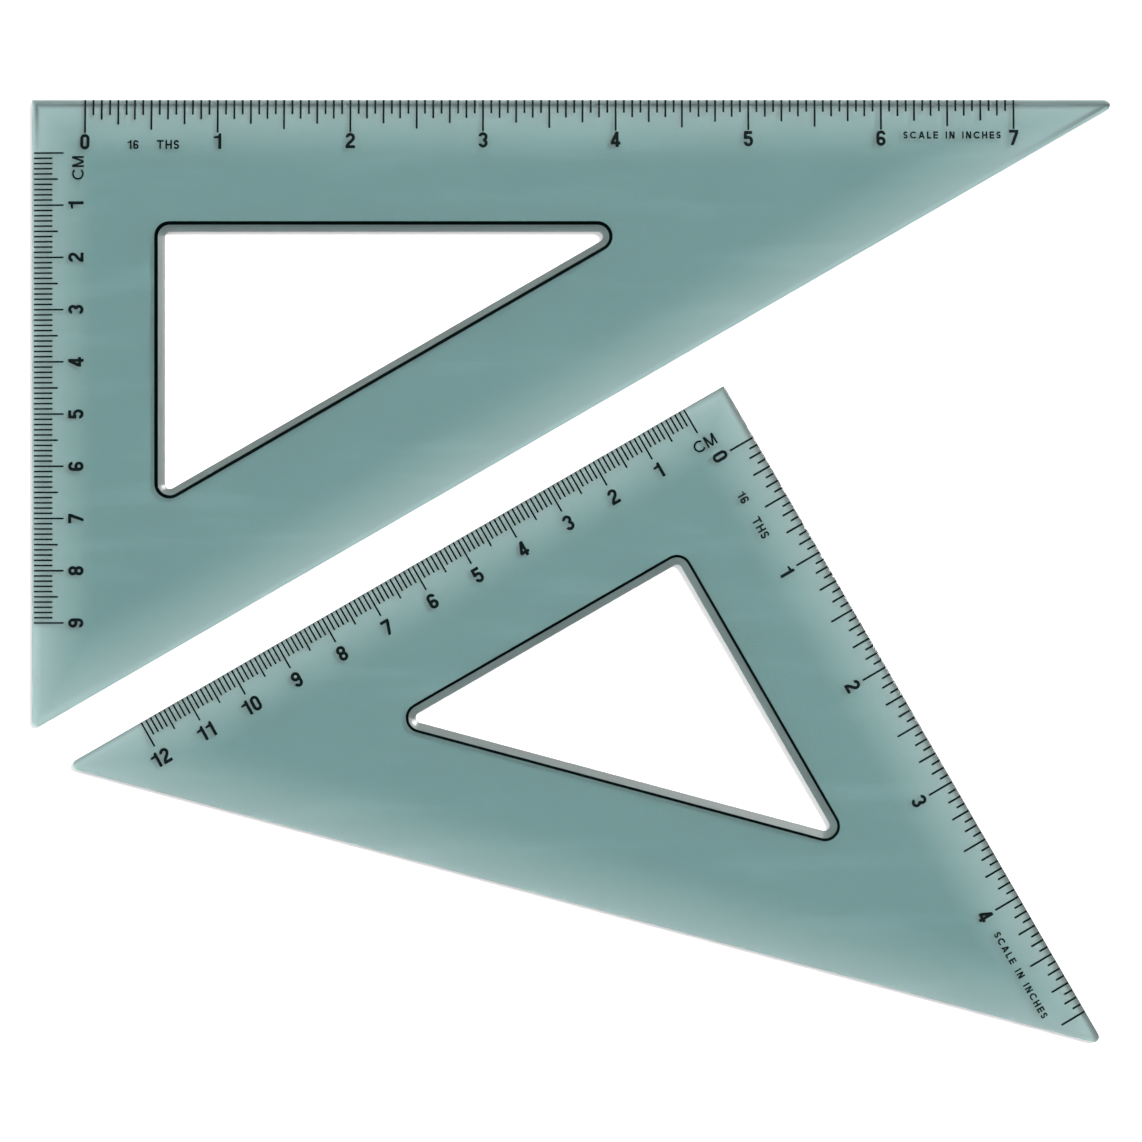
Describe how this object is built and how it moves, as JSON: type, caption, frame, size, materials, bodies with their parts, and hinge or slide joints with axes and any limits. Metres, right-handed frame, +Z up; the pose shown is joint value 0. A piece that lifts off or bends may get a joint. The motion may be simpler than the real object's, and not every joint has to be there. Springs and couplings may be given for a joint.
{
  "type": "set square pair",
  "caption": "Pair of transparent tinted set squares, 30/60/90 and 45/45/90, with bevelled edges, triangular cut-outs and inch and centimetre scales.",
  "frame": {"origin": "centre of the pair's outline, at the underside that rests on the paper", "axes": "+X along the 30/60/90 square's inch edge, away from its right angle; +Y away from its long side; +Z up, out of the printed face"},
  "size_m": [0.2068, 0.1807, 0.002],
  "materials": {
    "tinted_plastic": "polished clear plastic with a smoke-green tint",
    "scale_ink": "thin printed ink"
  },
  "bodies": {
    "set_square_60": {"plate_60": "tinted_plastic", "inch_ticks_60": "scale_ink", "inch_numerals_60": "scale_ink", "inch_unit_60": "scale_ink", "inch_word_60": "scale_ink", "cm_ticks_60": "scale_ink", "cm_numerals_60": "scale_ink", "cm_unit_60": "scale_ink"},
    "set_square_45": {"plate_45": "tinted_plastic", "inch_ticks_45": "scale_ink", "inch_numerals_45": "scale_ink", "inch_unit_45": "scale_ink", "inch_word_45": "scale_ink", "cm_ticks_45": "scale_ink", "cm_numerals_45": "scale_ink", "cm_unit_45": "scale_ink"}
  },
  "joints": [
    {"name": "slide_along_long_edge", "type": "slide", "parent": "set_square_60", "child": "set_square_45", "axis": [0.866, 0.5, 0], "range_m": [-0.0015, 0.093]}
  ]
}
